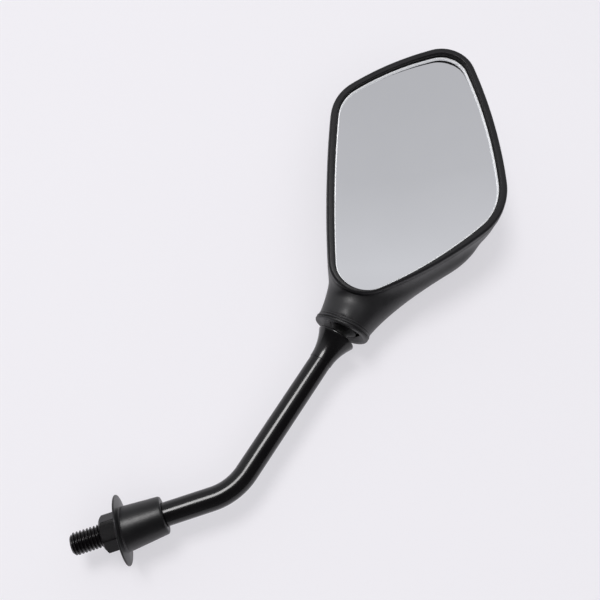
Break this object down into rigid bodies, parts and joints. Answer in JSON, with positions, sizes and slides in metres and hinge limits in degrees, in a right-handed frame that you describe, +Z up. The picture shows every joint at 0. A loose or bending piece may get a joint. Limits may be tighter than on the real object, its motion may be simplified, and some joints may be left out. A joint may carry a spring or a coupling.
{
  "type": "motorcycle mirror",
  "caption": "Left-hand motorcycle mirror: convex glass in a black ball-jointed housing on a bent round stem with a threaded stud, lock nut and flanged rubber boot.",
  "frame": {"origin": "centre of the lock nut's bearing face, on the threaded stud's axis", "axes": "+Z up along the stud towards the mirror, the glass faces -Y, the stem bends towards -X"},
  "size_m": [0.1985, 0.0349, 0.2519],
  "materials": {
    "gloss_black_steel": "gloss black paint",
    "black_nut": "satin black zinc",
    "gloss_black_bell": "gloss black paint",
    "boot_rubber": "satin black moulded rubber",
    "seal_rubber": "matt black rubber",
    "bare_steel": "turned steel",
    "spring_steel": "hardened spring steel",
    "zinc_screw": "bright zinc plate",
    "nylon": "natural nylon",
    "housing_plastic": "fine grained black plastic",
    "bezel_plastic": "satin black plastic",
    "carrier_plastic": "dark moulded plastic",
    "mirror": "convex silvered glass",
    "foam": "adhesive foam"
  },
  "bodies": {
    "stem": {"stem_rod": "gloss_black_steel", "swivel_bell": "gloss_black_bell", "ball_stud": "bare_steel"},
    "nut": {"lock_nut": "black_nut"},
    "boot": {"stem_boot": "boot_rubber"},
    "seal": {"dust_seal": "seal_rubber"},
    "seat": {"ball_seat_lower": "nylon"},
    "head": {"ball_seat_upper": "nylon", "disc_spring_1": "spring_steel", "disc_spring_2": "spring_steel", "disc_spring_3": "spring_steel", "pressure_plate": "bare_steel", "clamp_screws": "zinc_screw", "housing_shell": "housing_plastic", "bezel_frame": "bezel_plastic", "edge_gasket": "seal_rubber", "mirror_glass": "mirror", "foam_pad": "foam", "glass_carrier": "carrier_plastic", "carrier_screws": "zinc_screw"}
  },
  "joints": [
    {"name": "nut_travel", "type": "slide", "parent": "stem", "child": "nut", "axis": [0, 0, 1], "range_m": [-0.012, 0]},
    {"name": "boot_slide", "type": "slide", "parent": "stem", "child": "boot", "axis": [0, 0, 1], "range_m": [-0.005, 0.019]},
    {"name": "head_spin", "type": "hinge", "parent": "stem", "child": "seal", "pos_m": [-0.06193, 0, 0.13547], "axis": [-0.6293, 0, 0.7771], "continuous": true},
    {"name": "head_tip", "type": "hinge", "parent": "seal", "child": "seat", "pos_m": [-0.06193, 0, 0.13547], "axis": [0.7771, 0, 0.6293], "range_deg": [-12, 12]},
    {"name": "head_lean", "type": "hinge", "parent": "seat", "child": "head", "pos_m": [-0.06193, 0, 0.13547], "axis": [0, 1, 0], "range_deg": [-6, 22]}
  ]
}
